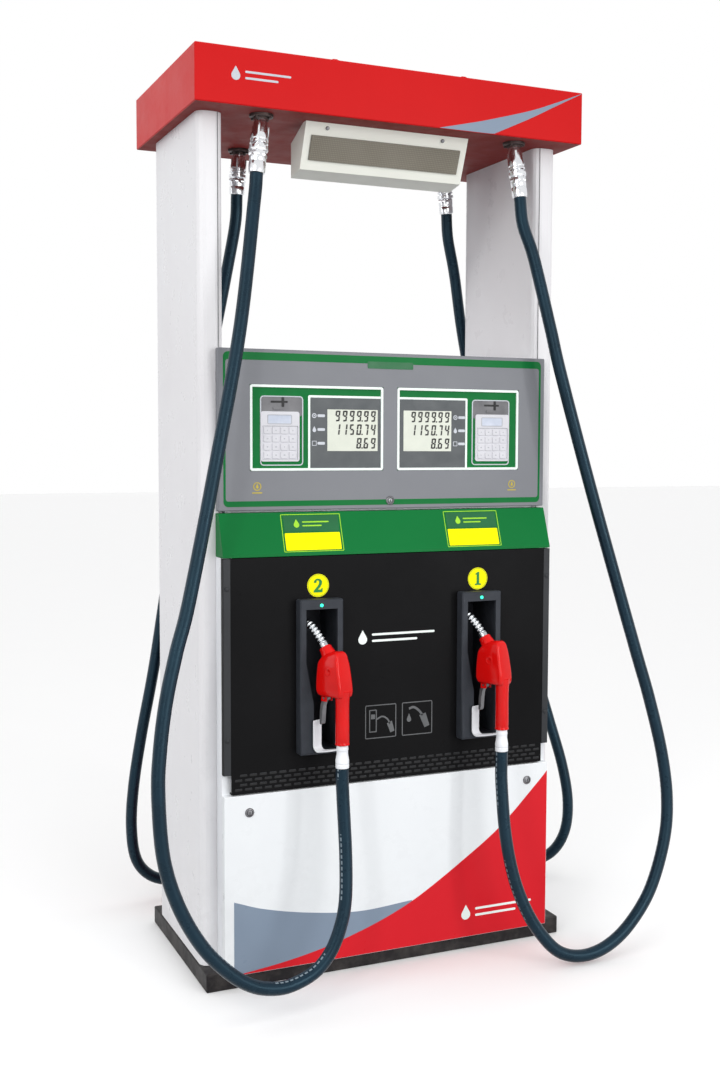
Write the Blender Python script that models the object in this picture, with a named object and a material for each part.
"""A two-sided fuel dispenser with two columns, a canopy and four hoses.

Metres, +Z up. The front faces -Y, and the back is the front turned half a turn about Z.
"""

import math

import bmesh
import bpy
from mathutils import Matrix, Vector

GAP = 0.0003
OVERLAP = 0.001
ROUND_SIDES = 20
SHARP_ANGLE = math.radians(32)

# Base plinth and columns
BASE_HALF = (0.495, 0.259)
BASE_HEIGHT = 0.046
BASE_RAIL_WIDTH = 0.040
BASE_DECK = 0.005
PIPE_OPENING_HALF = (0.095, 0.120)
COLUMN_INNER_X = 0.428
COLUMN_OUTER_X = 0.492
COLUMN_HALF_DEPTH = 0.205
COLUMN_RADIUS = 0.022
COLUMN_WALL = 0.002

# Canopy and its lamp
CANOPY_HALF = (0.520, 0.286)
CANOPY_BOTTOM = 2.118
TOTAL_HEIGHT = 2.250
SHEET = 0.003
LAMP_HALF_WIDTH = 0.222
LAMP_TOP_FRONT = (-0.216, CANOPY_BOTTOM - GAP)
LAMP_BOTTOM_FRONT = (-0.170, 2.010)
LAMP_BACK_Y = -0.107
LAMP_BACK_Z = (1.999, 2.084)
LENS_HALF_WIDTH = 0.204
LENS_SPAN = (0.27, 0.79)
LENS_THICKNESS = 0.003
LENS_RECESS = 0.005

# Faces of one side, as distances out from the middle plane
PANEL_HALF_WIDTH = 0.4515
HEAD_FACE = 0.229
HEAD_Z = (1.1705, 1.562)
BEZEL_Z = (1.0605, 1.1655)
NOZZLE_FACE = 0.265
NOZZLE_PANEL_Z = (0.4845, 1.0585)
NOTCH_X = 0.432
NOTCH_Z = 0.533
LOWER_FACE = 0.268
LOWER_PANEL_Z = (0.035, 0.481)
LIP_BACK = 0.2487
LIP_START_Z = 0.052
CHEEK_FACE = 0.248
CHEEK_BACK = 0.2055
CABINET_INNER_X = 0.4245
CABINET_OUTER_X = 0.4275
CASE_HALF_DEPTH = 0.2045

# Display door
WINDOW_X = (0.019, 0.372)
WINDOW_Z = (1.267, 1.477)
PLATE_HALF_WIDTH = 0.400
PLATE_Z = (1.250, 1.494)
PLATE_THICKNESS = 0.010
KEYPAD_X = 0.294
KEYPAD_Z = 1.345
KEYPAD_HALF = (0.045, 0.050)
KEYPAD_RECESS = 0.006
KEY_PITCH = (0.0215, 0.0235)
KEY_HALF = (0.0085, 0.0090)
DOOR_LOCK_Z = 1.191
PANEL_LOCK = (0.388, 0.438)

# Nozzle bays
BAYS = {"left": -0.211, "right": 0.231}
BOOT_HALF_WIDTH = 0.0565
BOOT_Z = (0.572, 0.955)
BOOT_RIM = 0.298
BOOT_FACE_THICKNESS = 0.008
BOOT_OPENING_HALF = (0.022, 0.041)
BOOT_OPENING_Z = (0.5785, 0.931)
BOOT_TAPER_Z = (0.700, 0.800)
POCKET_HALF = 0.051
POCKET_BACK = 0.150
BOOT_WALL = 0.003
CHEEK_SLOPE_Z = 0.806
CHEEK_REACH = 0.0055

# Nozzle, in its own upright plane: s runs into the bay, z up
NOZZLE_TURN = math.radians(24)
NOZZLE_X = {"left": -0.1925, "right": 0.2445}
NOZZLE_AXIS_Y = 0.385
CONNECTOR_BOTTOM = 0.556
CONNECTOR_TOP = 0.6115
GRIP_RADIUS = 0.0170
GRIP_TOP = 0.740
BODY_HALF_THICKNESS = 0.024
BODY_OUTLINE = (
    (-0.0125, 0.7285), (0.063, 0.7285), (0.071, 0.740), (0.0695, 0.790), (0.064, 0.815),
    (0.050, 0.826), (0.036, 0.8315), (0.018, 0.8375), (0.000, 0.8355), (-0.012, 0.768),
)
NECK_BASE = (0.038, 0.816)
NECK_END = (0.0585, 0.8425)
NECK_RADIUS = 0.0155
SPOUT_ROUTE = (
    (0.0658, 0.8520), (0.077, 0.865), (0.090, 0.8775), (0.103, 0.888), (0.116, 0.895), (0.127, 0.8975),
)
SPOUT_RADIUS = 0.0105
GUARD_HALF_WIDTH = 0.013
GUARD_THICKNESS = 0.004
GUARD_ROOT = 0.5995
GUARD_BOTTOM = 0.5835
GUARD_TOP = 0.661
GUARD_REACH = 0.087
GUARD_BEND = 0.016
LEVER_PIVOT = (0.052, 0.720)
LEVER_OUTLINE = (
    (0.0455, 0.7235), (0.0455, 0.7165), (0.0545, 0.7125), (0.0605, 0.700), (0.0625, 0.680), (0.0640, 0.656),
    (0.0685, 0.6525), (0.0710, 0.657), (0.0700, 0.684), (0.0675, 0.703), (0.0605, 0.718), (0.0545, 0.7235),
)
LEVER_HALF_WIDTH = 0.007
EAR_X = (0.043, 0.061)
EAR_Z = (0.712, 0.732)
EAR_THICKNESS = 0.003

# Hoses: where each leaves the canopy, which way its fitting leans, and its route down to the nozzle
HOSE_RADIUS = 0.016
NECK_LENGTH = 0.014
FLANGE_RADIUS = 0.027
FITTING_DRAWN = 0.132  # the length that the breakaway's rings are drawn for
HOSE_FACETS = 2
HOSE_STEP = 0.08
HOSES = {
    "front_left": {
        "flange": (-0.338, -0.220),
        "lean": (-0.13, -0.13),
        "fitting": 0.146,
        "route": (
            (-0.420, -0.304, 1.598), (-0.497, -0.352, 1.270), (-0.570, -0.392, 0.975),
            (-0.604, -0.410, 0.868), (-0.633, -0.425, 0.757), (-0.651, -0.438, 0.647),
            (-0.657, -0.446, 0.553), (-0.648, -0.453, 0.412), (-0.616, -0.460, 0.300),
            (-0.562, -0.462, 0.200), (-0.500, -0.462, 0.130), (-0.447, -0.460, 0.091),
            (-0.398, -0.455, 0.073), (-0.348, -0.450, 0.070), (-0.287, -0.443, 0.088),
            (-0.243, -0.436, 0.127), (-0.214, -0.428, 0.182), (-0.197, -0.418, 0.245),
            (-0.190, -0.402, 0.345), (-0.191, -0.388, 0.470),
        ),
    },
    "front_right": {
        "flange": (0.351, -0.225),
        "lean": (0.06, -0.14),
        "fitting": 0.146,
        "route": (
            (0.389, -0.270, 1.818), (0.424, -0.300, 1.636), (0.448, -0.318, 1.512),
            (0.528, -0.352, 1.200), (0.645, -0.382, 0.805), (0.687, -0.395, 0.662),
            (0.722, -0.408, 0.513), (0.735, -0.418, 0.390), (0.720, -0.430, 0.282),
            (0.668, -0.445, 0.160), (0.592, -0.462, 0.080), (0.515, -0.472, 0.036),
            (0.440, -0.472, 0.022), (0.375, -0.465, 0.040), (0.327, -0.452, 0.090),
            (0.291, -0.436, 0.155), (0.265, -0.418, 0.238), (0.249, -0.402, 0.345),
            (0.244, -0.388, 0.470),
        ),
    },
    "back_left": {
        "flange": (0.352, 0.185),
        "lean": (0.13, 0.10),
        "fitting": 0.118,
        "route": (
            (0.410, 0.226, 1.830), (0.452, 0.246, 1.640), (0.530, 0.262, 1.330),
            (0.600, 0.250, 1.000), (0.668, 0.205, 0.700), (0.712, 0.160, 0.500),
            (0.745, 0.128, 0.350), (0.757, 0.112, 0.235), (0.748, 0.118, 0.140),
            (0.715, 0.150, 0.070), (0.662, 0.215, 0.032), (0.595, 0.295, 0.022),
            (0.510, 0.362, 0.024), (0.420, 0.410, 0.036), (0.335, 0.436, 0.075),
            (0.262, 0.440, 0.140), (0.216, 0.428, 0.225), (0.196, 0.406, 0.345),
            (0.192, 0.388, 0.470),
        ),
    },
    "back_right": {
        "flange": (-0.272, 0.165),
        "lean": (-0.03, 0.07),
        "fitting": 0.118,
        "route": (
            (-0.289, 0.203, 1.830), (-0.316, 0.245, 1.640), (-0.364, 0.310, 1.330),
            (-0.414, 0.366, 1.000), (-0.456, 0.394, 0.700), (-0.492, 0.406, 0.500),
            (-0.514, 0.414, 0.350), (-0.520, 0.421, 0.230), (-0.505, 0.429, 0.130),
            (-0.458, 0.437, 0.071), (-0.387, 0.441, 0.051), (-0.317, 0.438, 0.072),
            (-0.270, 0.430, 0.130), (-0.251, 0.418, 0.225), (-0.247, 0.400, 0.345),
            (-0.2445, 0.388, 0.470),
        ),
    },
}

MATERIALS = {
    "white_paint": ((0.80, 0.81, 0.84), 0.35, 0.0),
    "red_paint": ((0.68, 0.015, 0.02), 0.30, 0.0),
    "lamp_shell": ((0.62, 0.64, 0.58), 0.45, 0.0),
    "lamp_window": ((0.10, 0.10, 0.10), 0.20, 0.0),
    "head_gray": ((0.26, 0.27, 0.29), 0.40, 0.0),
    "green_paint": ((0.01, 0.20, 0.05), 0.35, 0.0),
    "black_paint": ((0.012, 0.012, 0.014), 0.40, 0.0),
    "boot_plastic": ((0.06, 0.065, 0.08), 0.55, 0.0),
    "display_green": ((0.01, 0.19, 0.05), 0.45, 0.0),
    "key_rubber": ((0.75, 0.75, 0.78), 0.60, 0.0),
    "hose_rubber": ((0.012, 0.018, 0.028), 0.45, 0.0),
    "chrome": ((0.75, 0.76, 0.78), 0.12, 1.0),
    "nozzle_red": ((0.72, 0.01, 0.008), 0.28, 0.0),
    "white_plastic": ((0.85, 0.86, 0.88), 0.35, 0.0),
    "cast_iron": ((0.10, 0.11, 0.12), 0.60, 0.8),
    "base_black": ((0.018, 0.016, 0.018), 0.50, 0.0),
}


def clear_scene():
    for thing in list(bpy.data.objects):
        bpy.data.objects.remove(thing, do_unlink=True)


def material(name):
    found = bpy.data.materials.get(name)
    if found:
        return found
    colour, roughness, metallic = MATERIALS[name]
    made = bpy.data.materials.new(name)
    made.use_nodes = True
    shader = made.node_tree.nodes["Principled BSDF"]
    shader.inputs["Base Color"].default_value = (*colour, 1)
    shader.inputs["Roughness"].default_value = roughness
    shader.inputs["Metallic"].default_value = metallic
    return made


def mesh_object(points, faces):
    """A closed shape as an object, its faces turned outwards."""
    shape = bmesh.new()
    corners = [shape.verts.new(point) for point in points]
    for face in faces:
        shape.faces.new([corners[index] for index in face])
    bmesh.ops.recalc_face_normals(shape, faces=shape.faces)
    mesh = bpy.data.meshes.new("shape")
    shape.to_mesh(mesh)
    shape.free()
    thing = bpy.data.objects.new("shape", mesh)
    bpy.context.scene.collection.objects.link(thing)
    return thing


def loft(rings):
    """Rings of equally many points, joined in order and capped at both ends."""
    count = len(rings[0])
    points = [point for ring in rings for point in ring]
    faces = [tuple(range(count)), tuple(range((len(rings) - 1) * count, len(rings) * count))]
    for row in range(len(rings) - 1):
        for column in range(count):
            following = (column + 1) % count
            low, high = row * count, (row + 1) * count
            faces.append((low + column, low + following, high + following, high + column))
    return mesh_object(points, faces)


def block(low, high):
    bottom = [(low[0], low[1]), (high[0], low[1]), (high[0], high[1]), (low[0], high[1])]
    return loft([[(x, y, z) for x, y in bottom] for z in (low[2], high[2])])


def upright_prism(outline, low, high):
    """An outline in X and Y between two heights."""
    return loft([[(x, y, z) for x, y in outline] for z in (low, high)])


def cross_prism(outline, low, high):
    """An outline in Y and Z between two X values."""
    return loft([[(x, y, z) for y, z in outline] for x in (low, high)])


def turned(profile, matrix, sides=ROUND_SIDES):
    """Rings of (radius, height) about Z, moved by the matrix."""
    steps = [2 * math.pi * step / sides for step in range(sides)]
    thing = loft([[(r * math.cos(a), r * math.sin(a), h) for a in steps] for r, h in profile])
    thing.data.transform(matrix)
    return thing


def rounded_outline(low, high, radius, steps=4):
    """A rectangle between two corners with round corners."""
    outline = []
    centres = (
        (high[0] - radius, high[1] - radius), (low[0] + radius, high[1] - radius),
        (low[0] + radius, low[1] + radius), (high[0] - radius, low[1] + radius),
    )
    for quarter, centre in enumerate(centres):
        for step in range(steps + 1):
            angle = math.pi / 2 * (quarter + step / steps)
            outline.append((centre[0] + radius * math.cos(angle), centre[1] + radius * math.sin(angle)))
    return outline


def applied(thing):
    """The object with its modifiers worked into its mesh."""
    bpy.context.view_layer.update()
    depsgraph = bpy.context.evaluated_depsgraph_get()
    mesh = bpy.data.meshes.new_from_object(thing.evaluated_get(depsgraph))
    thing.modifiers.clear()
    thing.data = mesh
    return thing


def combined(thing, others, operation):
    for other in others:
        modifier = thing.modifiers.new("combine", "BOOLEAN")
        modifier.operation = operation
        modifier.object = other
    applied(thing)
    for other in others:
        bpy.data.objects.remove(other, do_unlink=True)
    return thing


def united(thing, *others):
    return combined(thing, others, "UNION")


def cut(thing, *others):
    return combined(thing, others, "DIFFERENCE")


def bevelled(thing, width, segments=2):
    modifier = thing.modifiers.new("bevel", "BEVEL")
    modifier.width = width
    modifier.segments = segments
    modifier.limit_method = "ANGLE"
    return applied(thing)


def finish(thing, name, finish_name, matrix=None, origin=(0, 0, 0), smooth=False):
    """Names the node, places its mesh, and puts its origin on the joint axis."""
    if matrix:
        thing.data.transform(matrix)
    thing.data.transform(Matrix.Translation(-Vector(origin)))
    thing.location = origin
    thing.name = name
    thing.data.name = name
    thing.data.materials.clear()
    thing.data.materials.append(material(finish_name))
    if smooth:
        thing.data.shade_smooth()
        thing.data.set_sharp_from_angle(angle=SHARP_ANGLE)
    return thing


def mirrored_pair(low, high):
    """The same block on both sides of the X = 0 plane."""
    return block(low, high), block((-high[0], low[1], low[2]), (-low[0], high[1], high[2]))


def base_frame():
    """A frame of rails under a deck, with an opening for the supply pipe."""
    width, depth = BASE_HALF
    thing = bevelled(block((-width, -depth, 0), (width, depth, BASE_HEIGHT)), 0.003)
    hollow = block(
        (-width + BASE_RAIL_WIDTH, -depth + BASE_RAIL_WIDTH, -OVERLAP),
        (width - BASE_RAIL_WIDTH, depth - BASE_RAIL_WIDTH, BASE_HEIGHT - BASE_DECK),
    )
    hole_x, hole_y = PIPE_OPENING_HALF
    hole = block((-hole_x, -hole_y, -OVERLAP), (hole_x, hole_y, BASE_HEIGHT + OVERLAP))
    finish(cut(thing, hollow, hole), "base_frame", "base_black")


def column(name, side):
    low = (COLUMN_INNER_X, -COLUMN_HALF_DEPTH)
    high = (COLUMN_OUTER_X, COLUMN_HALF_DEPTH)
    bottom, top = BASE_HEIGHT + GAP, CANOPY_BOTTOM - GAP
    outside = upright_prism(rounded_outline(low, high, COLUMN_RADIUS), bottom, top)
    inside_low = (low[0] + COLUMN_WALL, low[1] + COLUMN_WALL)
    inside_high = (high[0] - COLUMN_WALL, high[1] - COLUMN_WALL)
    inside_outline = rounded_outline(inside_low, inside_high, COLUMN_RADIUS - COLUMN_WALL)
    inside = upright_prism(inside_outline, bottom - OVERLAP, top + OVERLAP)
    turn = Matrix.Rotation(0 if side > 0 else math.pi, 4, "Z")
    finish(cut(outside, inside), name, "white_paint", turn, smooth=True)


def canopy_shell():
    width, depth = CANOPY_HALF
    outside = bevelled(block((-width, -depth, CANOPY_BOTTOM), (width, depth, TOTAL_HEIGHT)), 0.002, 1)
    inside = block(
        (-width + SHEET, -depth + SHEET, CANOPY_BOTTOM - OVERLAP),
        (width - SHEET, depth - SHEET, TOTAL_HEIGHT - SHEET),
    )
    finish(cut(outside, inside), "canopy_shell", "red_paint")


def fitting_frame(hose):
    """The matrix at a hose's flange whose -Z axis runs down the leaning fitting."""
    x, y = hose["flange"]
    down = Vector((*hose["lean"], -1)).normalized()
    turn = Vector((0, 0, -1)).rotation_difference(down).to_matrix().to_4x4()
    return Matrix.Translation((x, y, CANOPY_BOTTOM)) @ turn


def canopy_tray():
    width, depth = CANOPY_HALF[0] - SHEET - GAP, CANOPY_HALF[1] - SHEET - GAP
    thing = block((-width, -depth, CANOPY_BOTTOM), (width, depth, CANOPY_BOTTOM + SHEET))
    stubs = []
    for hose in HOSES.values():
        x, y = hose["flange"]
        upright = Matrix.Translation((x, y, CANOPY_BOTTOM))
        stubs.append(turned(((FLANGE_RADIUS, -0.005), (FLANGE_RADIUS, OVERLAP)), upright))
        stubs.append(turned(((0.018, -NECK_LENGTH), (0.018, 0)), fitting_frame(hose)))
    finish(united(thing, *stubs), "canopy_tray", "red_paint", smooth=True)


def lamp():
    top, bottom = Vector(LAMP_TOP_FRONT), Vector(LAMP_BOTTOM_FRONT)
    outline = [
        top, bottom, (LAMP_BACK_Y, LAMP_BACK_Z[0]), (LAMP_BACK_Y, LAMP_BACK_Z[1]),
        (LAMP_TOP_FRONT[0] + 0.020, LAMP_TOP_FRONT[1]),
    ]
    housing = cross_prism(outline, -LAMP_HALF_WIDTH, LAMP_HALF_WIDTH)
    down_face = (bottom - top).normalized()
    length = (bottom - top).length
    along = Vector((0, *down_face))
    outward = Vector((1, 0, 0)).cross(along)
    face = Matrix((
        (1, 0, 0, 0),
        (0, along.y, outward.y, top.x),
        (0, along.z, outward.z, top.y),
        (0, 0, 0, 1),
    ))
    start, end = LENS_SPAN[0] * length, LENS_SPAN[1] * length
    recess = block((-LENS_HALF_WIDTH, start, -LENS_RECESS), (LENS_HALF_WIDTH, end, 0.01))
    recess.data.transform(face)
    lens = block(
        (-LENS_HALF_WIDTH + GAP, start + GAP, -LENS_RECESS + GAP),
        (LENS_HALF_WIDTH - GAP, end - GAP, -LENS_RECESS + LENS_THICKNESS),
    )
    finish(cut(housing, recess), "lamp_housing", "lamp_shell")
    finish(lens, "lamp_lens", "lamp_window", face)


def head_case():
    outside = block(
        (-CABINET_OUTER_X, -CASE_HALF_DEPTH, BEZEL_Z[1] + 0.0005),
        (CABINET_OUTER_X, CASE_HALF_DEPTH, HEAD_Z[1]),
    )
    inside = block(
        (-CABINET_INNER_X, -CASE_HALF_DEPTH - OVERLAP, HEAD_Z[0]),
        (CABINET_INNER_X, CASE_HALF_DEPTH + OVERLAP, HEAD_Z[1] - SHEET),
    )
    finish(cut(outside, inside), "head_case", "white_paint")


def cabinet_frame():
    bottom, shoulder, top = BASE_HEIGHT + GAP, NOZZLE_PANEL_Z[1] + 0.001, BEZEL_Z[1]
    pieces = []
    for low, high in ((CABINET_INNER_X, CABINET_OUTER_X), (-CABINET_OUTER_X, -CABINET_INNER_X)):
        outline = (
            (-CHEEK_FACE, bottom), (CHEEK_FACE, bottom), (CHEEK_FACE, shoulder),
            (CASE_HALF_DEPTH, shoulder), (CASE_HALF_DEPTH, top), (-CASE_HALF_DEPTH, top),
            (-CASE_HALF_DEPTH, shoulder), (-CHEEK_FACE, shoulder),
        )
        pieces.append(cross_prism(outline, low, high))
    inner = CABINET_INNER_X + OVERLAP
    pieces.append(block((-inner, -CASE_HALF_DEPTH, top - SHEET), (inner, CASE_HALF_DEPTH, top)))
    for side in (-1, 1):
        near, far = sorted((side * CHEEK_BACK, side * CHEEK_FACE))
        cheek_low = (CABINET_INNER_X + OVERLAP, near, bottom)
        pieces.extend(mirrored_pair(cheek_low, (PANEL_HALF_WIDTH, far, shoulder)))
        pieces.append(block((-inner, near, bottom), (inner, far, bottom + 0.022)))
    finish(united(*pieces), "cabinet_frame", "white_paint")


def hydraulics():
    """The pump set with its meters and valves, the motor and the control box."""
    floor = BASE_HEIGHT + GAP
    pump = united(
        block((-0.380, -0.120, floor), (-0.120, 0.120, floor + 0.012)),
        block((-0.360, -0.100, floor + 0.010), (-0.140, 0.100, floor + 0.200)),
        turned(((0.060, -0.10), (0.060, 0.125)), Matrix.Translation((-0.25, 0, 0.30)), 16),
        block((-0.345, -0.045, 0.380), (-0.155, 0.045, 0.470)),
        turned(((0.038, 0), (0.038, 0.090)), Matrix.Translation((-0.310, 0, 0.465)), 16),
        turned(((0.038, 0), (0.038, 0.090)), Matrix.Translation((-0.190, 0, 0.465)), 16),
        block((-0.400, -0.020, 0.400), (-0.340, 0.020, 0.440)),
        block((-0.400, -0.020, 0.400), (-0.365, 0.020, 1.000)),
    )
    finish(pump, "pump_unit", "cast_iron", smooth=True)
    lying = Matrix.Translation((0.13, 0, floor + 0.125)) @ Matrix.Rotation(math.pi / 2, 4, "Y")
    motor = united(
        turned(((0.020, -0.03), (0.020, 0), (0.085, 0), (0.085, 0.20), (0.060, 0.235)), lying),
        block((0.160, -0.095, floor), (0.200, 0.095, floor + 0.070)),
        block((0.270, -0.095, floor), (0.310, 0.095, floor + 0.070)),
        block((0.190, -0.045, floor + 0.190), (0.280, 0.045, floor + 0.250)),
    )
    finish(motor, "motor", "cast_iron", smooth=True)
    floor = HEAD_Z[0] + GAP
    low, high = floor + 0.05, floor + 0.12
    glands = [block((x - 0.012, -0.070, low), (x + 0.012, 0.070, high)) for x in (-0.12, 0, 0.12)]
    box = united(block((-0.200, -0.060, floor), (0.200, 0.060, floor + 0.200)), *glands)
    finish(box, "control_box", "head_gray")


def bezel(name, turn):
    """The slanted sheet under the display door, closed at its ends and open at its back."""
    low, high = BEZEL_Z
    outline = (
        (-HEAD_FACE, high), (-NOZZLE_FACE, low + 0.006), (-NOZZLE_FACE, low),
        (-CHEEK_BACK, low), (-CHEEK_BACK, high),
    )
    inner = (
        (-HEAD_FACE + SHEET, high - SHEET), (-NOZZLE_FACE + SHEET, low + 0.006),
        (-NOZZLE_FACE + SHEET, low + SHEET), (-CHEEK_BACK + OVERLAP, low + SHEET),
        (-CHEEK_BACK + OVERLAP, high - SHEET),
    )
    sheet = cross_prism(outline, -PANEL_HALF_WIDTH, PANEL_HALF_WIDTH)
    hollow = cross_prism(inner, -PANEL_HALF_WIDTH + SHEET, PANEL_HALF_WIDTH - SHEET)
    finish(cut(sheet, hollow), name, "green_paint", turn)


def lock_hole(x, z, face):
    """A cutter for a cam lock's barrel through a panel's sheet."""
    place = Matrix.Translation((x, -face, z)) @ Matrix.Rotation(math.pi / 2, 4, "X")
    return turned(((0.0085, -0.006), (0.0085, 0.006)), place, 16)


def cam_lock(name, x, z, face, turn):
    """A lock that turns about Y: rose outside, barrel through the sheet, cam behind it."""
    place = Matrix.Translation((x, -face, z)) @ Matrix.Rotation(math.pi / 2, 4, "X")
    behind = -SHEET - GAP
    rings = (
        (0.0075, behind - 0.003), (0.0075, GAP), (0.0115, GAP), (0.0115, 0.0025), (0.0095, 0.004),
    )
    barrel = turned(rings, place)
    slot = block((-0.0012, -0.0055, 0.002), (0.0012, 0.0055, 0.006))
    slot.data.transform(place)
    tab = block((-0.005, -0.005, behind - 0.0028), (0.005, 0.022, behind - 0.0008))
    tab.data.transform(place)
    origin = turn @ Vector((x, -face, z))
    finish(united(cut(barrel, slot), tab), name, "chrome", turn, origin, smooth=True)


def display_door(side, turn):
    width = PANEL_HALF_WIDTH - OVERLAP
    door = bevelled(block((-width, -HEAD_FACE, HEAD_Z[0]), (width, -CHEEK_BACK, HEAD_Z[1])), 0.002, 1)
    cutters = [
        block(
            (-width + SHEET, -HEAD_FACE + SHEET, HEAD_Z[0] + SHEET),
            (width - SHEET, -CHEEK_BACK + OVERLAP, HEAD_Z[1] - SHEET),
        ),
        lock_hole(0, DOOR_LOCK_Z, HEAD_FACE),
    ]
    cutters.extend(mirrored_pair(
        (WINDOW_X[0], -HEAD_FACE - OVERLAP, WINDOW_Z[0]),
        (WINDOW_X[1], -HEAD_FACE + SHEET + OVERLAP, WINDOW_Z[1]),
    ))
    hinge = turn @ Vector((0, -CHEEK_BACK, HEAD_Z[1]))
    finish(cut(door, *cutters), "display_door_" + side, "head_gray", turn, hinge)

    front = -HEAD_FACE + SHEET + GAP
    plate = block(
        (-PLATE_HALF_WIDTH, front, PLATE_Z[0]), (PLATE_HALF_WIDTH, front + PLATE_THICKNESS, PLATE_Z[1])
    )
    wide, tall = KEYPAD_HALF
    recesses = mirrored_pair(
        (KEYPAD_X - wide - 0.001, front - OVERLAP, KEYPAD_Z - tall - 0.001),
        (KEYPAD_X + wide + 0.001, front + KEYPAD_RECESS, KEYPAD_Z + tall + 0.001),
    )
    finish(cut(plate, *recesses), "display_plate_" + side, "display_green", turn, hinge)

    for hand, direction in (("left", -1), ("right", 1)):
        keypad(f"keypad_{side}_{hand}", direction * KEYPAD_X, front, turn)
    cam_lock("door_lock_" + side, 0, DOOR_LOCK_Z, HEAD_FACE, turn)


def keypad(name, x, front, turn):
    """A rubber mat with four rows of four keys, in one piece."""
    wide, tall = KEYPAD_HALF
    mat_front = front + KEYPAD_RECESS - 0.0040
    pad = block((x - wide, mat_front, KEYPAD_Z - tall), (x + wide, mat_front + 0.002, KEYPAD_Z + tall))
    keys = []
    for row in range(4):
        for place in range(4):
            key_x = x + (place - 1.5) * KEY_PITCH[0]
            key_z = KEYPAD_Z + (row - 1.5) * KEY_PITCH[1]
            low = (key_x - KEY_HALF[0], front - 0.0015, key_z - KEY_HALF[1])
            high = (key_x + KEY_HALF[0], mat_front + 0.001, key_z + KEY_HALF[1])
            keys.append(block(low, high))
    origin = turn @ Vector((x, front, KEYPAD_Z))
    finish(united(pad, *keys), name, "key_rubber", turn, origin)


def lower_panel(side, turn):
    """A tray-shaped sheet that hooks on at its lower edge, with two cam locks at its top."""
    width = PANEL_HALF_WIDTH
    low, high = LOWER_PANEL_Z
    sheet = bevelled(block((-width, -LOWER_FACE, low), (width, -LOWER_FACE + SHEET, high)), 0.001, 1)
    lips = block((-width, -LOWER_FACE + 0.001, LIP_START_Z), (width, -LIP_BACK, high))
    hollow = block(
        (-width + SHEET, -LOWER_FACE + SHEET, LIP_START_Z + SHEET),
        (width - SHEET, -LIP_BACK + OVERLAP, high - SHEET),
    )
    holes = [lock_hole(x, PANEL_LOCK[1], LOWER_FACE) for x in (-PANEL_LOCK[0], PANEL_LOCK[0])]
    edge = turn @ Vector((0, -LOWER_FACE, low))
    finish(cut(united(sheet, lips), hollow, *holes), "lower_panel_" + side, "white_paint", turn, edge)
    for hand, direction in (("left", -1), ("right", 1)):
        name = f"panel_lock_{side}_{hand}"
        cam_lock(name, direction * PANEL_LOCK[0], PANEL_LOCK[1], LOWER_FACE, turn)


def nozzle_panel(side, turn):
    width = PANEL_HALF_WIDTH
    low, high = NOZZLE_PANEL_Z
    panel = block((-width, -NOZZLE_FACE, low), (width, -LIP_BACK, high))
    wall = POCKET_HALF + BOOT_WALL + GAP
    bottom, top = BOOT_OPENING_Z[0] - BOOT_WALL - GAP, BOOT_OPENING_Z[1] + BOOT_WALL + GAP
    hollow_low = (-width + SHEET, -NOZZLE_FACE + SHEET, low + SHEET)
    cutters = [
        block(hollow_low, (width - SHEET, -LIP_BACK + OVERLAP, high - SHEET)),
        *mirrored_pair((NOTCH_X, -NOZZLE_FACE - OVERLAP, low - OVERLAP), (width + OVERLAP, 0, NOTCH_Z)),
        *(block((x - wall, -NOZZLE_FACE - OVERLAP, bottom), (x + wall, 0, top)) for x in BAYS.values()),
    ]
    finish(cut(panel, *cutters), "nozzle_panel_" + side, "black_paint", turn)


def boot(name, x, turn):
    """The nozzle's holster: a raised face with sloping cheeks, and a pocket behind the panel."""
    wide = BOOT_HALF_WIDTH
    seat = -NOZZLE_FACE - GAP
    rim = bevelled(block((x - wide, -BOOT_RIM, BOOT_Z[0]), (x + wide, seat, BOOT_Z[1])), 0.003, 1)
    inset = 0.0005
    cheek = (
        (-BOOT_RIM + 0.004, CHEEK_SLOPE_Z), (-BOOT_RIM - CHEEK_REACH, BOOT_Z[0] + 0.006),
        (-BOOT_RIM - CHEEK_REACH + 0.004, BOOT_Z[0] + inset), (-BOOT_RIM + 0.004, BOOT_Z[0] + inset),
    )
    cheeks = bevelled(cross_prism(cheek, x - wide + inset, x + wide - inset), 0.002, 1)
    wall = POCKET_HALF + BOOT_WALL
    bottom, top = BOOT_OPENING_Z
    pocket = block((x - wall, seat - OVERLAP, bottom - BOOT_WALL), (x + wall, -POCKET_BACK, top + BOOT_WALL))
    narrow, open_half = BOOT_OPENING_HALF
    taper_low, taper_high = BOOT_TAPER_Z
    outline = (
        (x - narrow, bottom), (x + open_half, bottom), (x + open_half, top), (x - open_half, top),
        (x - open_half, taper_high), (x - narrow, taper_low),
    )
    back_of_face = -BOOT_RIM + BOOT_FACE_THICKNESS
    depths = (back_of_face + OVERLAP, -BOOT_RIM - 2 * CHEEK_REACH)
    mouth = loft([[(px, y, z) for px, z in outline] for y in depths])
    hollow = block((x - POCKET_HALF, back_of_face, bottom), (x + POCKET_HALF, -POCKET_BACK - BOOT_WALL, top))
    finish(cut(united(rim, cheeks, pocket), mouth, hollow), name, "boot_plastic", turn)


def nozzle_frame(x, turn):
    """Maps (s, t, z) to the world: s into the bay, t across the nozzle."""
    sine, cosine = math.sin(NOZZLE_TURN), math.cos(NOZZLE_TURN)
    return turn @ Matrix((
        (-sine, -cosine, 0, x),
        (cosine, -sine, 0, -NOZZLE_AXIS_Y),
        (0, 0, 1, 0),
        (0, 0, 0, 1),
    ))


def plate_in_plane(outline, half_thickness):
    """An outline in s and z, as thick as asked across the nozzle."""
    return loft([[(s, t, z) for s, z in outline] for t in (-half_thickness, half_thickness)])


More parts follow.
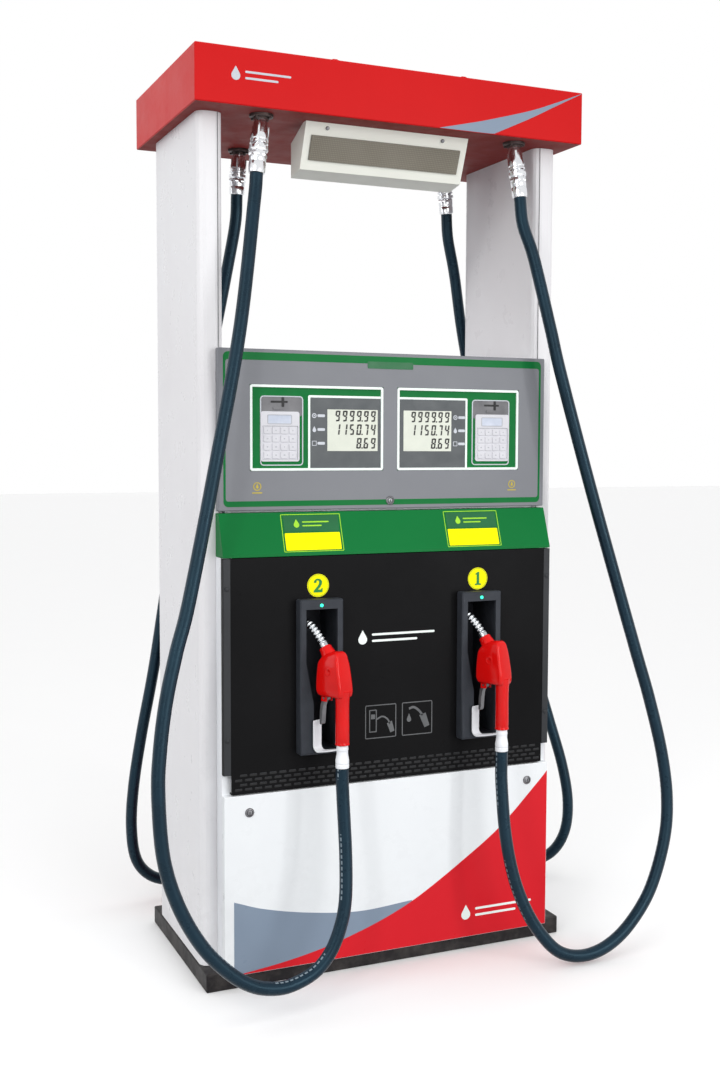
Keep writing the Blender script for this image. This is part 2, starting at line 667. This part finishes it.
def nozzle_body(name, frame):
    body = bevelled(plate_in_plane(BODY_OUTLINE, BODY_HALF_THICKNESS), 0.009, 2)
    grip = turned(((GRIP_RADIUS, CONNECTOR_TOP + GAP), (GRIP_RADIUS, GRIP_TOP)), Matrix.Identity(4), 16)
    base, end = Vector((NECK_BASE[0], 0, NECK_BASE[1])), Vector((NECK_END[0], 0, NECK_END[1]))
    tilt = Vector((0, 0, 1)).rotation_difference(end - base).to_matrix().to_4x4()
    rings = ((NECK_RADIUS + 0.004, 0), (NECK_RADIUS, (end - base).length))
    neck = turned(rings, Matrix.Translation(base) @ tilt, 16)
    ears = []
    inside = LEVER_HALF_WIDTH + 0.001
    for side in (-1, 1):
        near, far = sorted((side * inside, side * (inside + EAR_THICKNESS)))
        ears.append(block((EAR_X[0], near, EAR_Z[0]), (EAR_X[1], far, EAR_Z[1])))
    origin = frame @ Vector((0, 0, GUARD_BOTTOM))
    finish(united(body, grip, neck, *ears), name, "nozzle_red", frame, origin, True)


def tube_through(points, radius, sides):
    """A round tube in the s and z plane, through points given as (s, z)."""
    rings = []
    for index, (s, z) in enumerate(points):
        before = Vector(points[max(index - 1, 0)])
        after = Vector(points[min(index + 1, len(points) - 1)])
        along = (after - before).normalized()
        across = Vector((-along.y, along.x))
        ring = []
        for step in range(sides):
            angle = 2 * math.pi * step / sides
            offset = radius * math.cos(angle)
            ring.append((s + across.x * offset, radius * math.sin(angle), z + across.y * offset))
        rings.append(ring)
    return loft(rings)


def nozzle_spout(name, frame):
    along = Vector((NECK_END[0] - NECK_BASE[0], NECK_END[1] - NECK_BASE[1])).normalized()
    start = Vector(NECK_END) + along * GAP
    spout = tube_through([tuple(start), *SPOUT_ROUTE], SPOUT_RADIUS, 14)
    finish(spout, name, "chrome", frame, frame @ Vector((0, 0, GUARD_BOTTOM)), True)


def nozzle_guard(name, frame):
    """The hose connector with the strip that guards the lever, in one piece."""
    rings = (
        (0.0165, CONNECTOR_BOTTOM), (0.0165, 0.584), (0.0140, 0.587), (0.0140, CONNECTOR_TOP),
    )
    connector = turned(rings, Matrix.Identity(4), 16)
    outer, inner = [], []
    centre = (GUARD_REACH - GUARD_BEND, GUARD_BOTTOM + GUARD_BEND)
    for step in range(5):
        angle = -math.pi / 2 + math.pi / 2 * step / 4
        for line, radius in ((outer, GUARD_BEND), (inner, GUARD_BEND - GUARD_THICKNESS)):
            line.append((centre[0] + radius * math.cos(angle), centre[1] + radius * math.sin(angle)))
    outline = [
        (0.004, GUARD_ROOT), *outer, (GUARD_REACH, GUARD_TOP - 0.004), (GUARD_REACH - 0.002, GUARD_TOP),
        (GUARD_REACH - GUARD_THICKNESS, GUARD_TOP - 0.002), *reversed(inner),
        (0.004, GUARD_ROOT + GUARD_THICKNESS),
    ]
    strip = plate_in_plane(outline, GUARD_HALF_WIDTH)
    origin = frame @ Vector((0, 0, GUARD_BOTTOM))
    finish(united(connector, strip), name, "white_plastic", frame, origin, True)


def nozzle_lever(name, frame):
    lever = bevelled(plate_in_plane(LEVER_OUTLINE, LEVER_HALF_WIDTH), 0.0015, 1)
    finish(lever, name, "chrome", frame, frame @ Vector((LEVER_PIVOT[0], 0, LEVER_PIVOT[1])), True)


def breakaway(name, hose):
    """The chrome hose swivel and breakaway, turned about the hose's own line."""
    start, end = -NECK_LENGTH - GAP, -hose["fitting"]
    share = (start - end) / FITTING_DRAWN
    rings = (
        (0.0150, start), (0.0160, start - 0.012 * share), (0.0215, start - 0.040 * share),
        (0.0225, start - 0.052 * share), (0.0180, start - 0.055 * share), (0.0180, start - 0.059 * share),
        (0.0235, start - 0.062 * share), (0.0235, start - 0.076 * share), (0.0205, start - 0.082 * share),
        (0.0185, end),
    )
    frame = fitting_frame(hose)
    finish(turned(rings, frame), name, "chrome", origin=frame @ Vector((0, 0, start)), smooth=True)


def smooth_route(points, spacing):
    """Points a spacing apart on the smooth curve through a route's points."""
    padded = [2 * points[0] - points[1], *points, 2 * points[-1] - points[-2]]
    dense = [points[0]]
    for index in range(1, len(padded) - 2):
        a, b, c, d = padded[index - 1:index + 3]
        for step in range(1, 17):
            t = step / 16
            dense.append(0.5 * (
                2 * b + (c - a) * t + (2 * a - 5 * b + 4 * c - d) * t ** 2 + (3 * b - a - 3 * c + d) * t ** 3
            ))
    total = sum((q - p).length for p, q in zip(dense, dense[1:]))
    count = round(total / spacing)
    chosen, travelled = [dense[0]], 0.0
    for p, q in zip(dense, dense[1:]):
        travelled += (q - p).length
        if travelled >= len(chosen) * total / count and len(chosen) < count:
            chosen.append(q)
    return [*chosen, dense[-1]]


def hose_tube(name, hose, end):
    """A free hose from its breakaway to the underside of its nozzle's connector."""
    frame = fitting_frame(hose)
    start = frame @ Vector((0, 0, -hose["fitting"] - GAP))
    straight = [start, frame @ Vector((0, 0, -hose["fitting"] - 0.07))]
    route = [*straight, *(Vector(point) for point in hose["route"]), end + Vector((0, 0, -0.03)), end]
    points = smooth_route(route, HOSE_STEP)
    points[-2] = end + Vector((0, 0, -0.03))
    points[1] = start + (straight[1] - start) * 0.5
    curve = bpy.data.curves.new(name, "CURVE")
    curve.dimensions = "3D"
    curve.bevel_depth = HOSE_RADIUS
    curve.bevel_resolution = HOSE_FACETS
    curve.use_fill_caps = True
    spline = curve.splines.new("POLY")
    spline.points.add(len(points) - 1)
    for spot, point in zip(spline.points, points):
        spot.co = (*point, 1)
    thing = bpy.data.objects.new(name, curve)
    bpy.context.scene.collection.objects.link(thing)
    curve.materials.append(material("hose_rubber"))


def bay(side, hand, x, turn):
    label = f"{side}_{hand}"
    frame = nozzle_frame(NOZZLE_X[hand], turn)
    boot("boot_" + label, x, turn)
    nozzle_body("nozzle_body_" + label, frame)
    nozzle_spout("nozzle_spout_" + label, frame)
    nozzle_guard("nozzle_guard_" + label, frame)
    nozzle_lever("nozzle_lever_" + label, frame)
    breakaway("breakaway_" + label, HOSES[label])
    hose_tube("hose_" + label, HOSES[label], frame @ Vector((0, 0, CONNECTOR_BOTTOM - GAP)))


def one_side(side, turn):
    bezel("bezel_" + side, turn)
    nozzle_panel(side, turn)
    lower_panel(side, turn)
    display_door(side, turn)
    for hand, x in BAYS.items():
        bay(side, hand, x, turn)


def main():
    clear_scene()
    base_frame()
    column("left_column", -1)
    column("right_column", 1)
    canopy_shell()
    canopy_tray()
    lamp()
    head_case()
    cabinet_frame()
    hydraulics()
    one_side("front", Matrix.Identity(4))
    one_side("back", Matrix.Rotation(math.pi, 4, "Z"))


main()
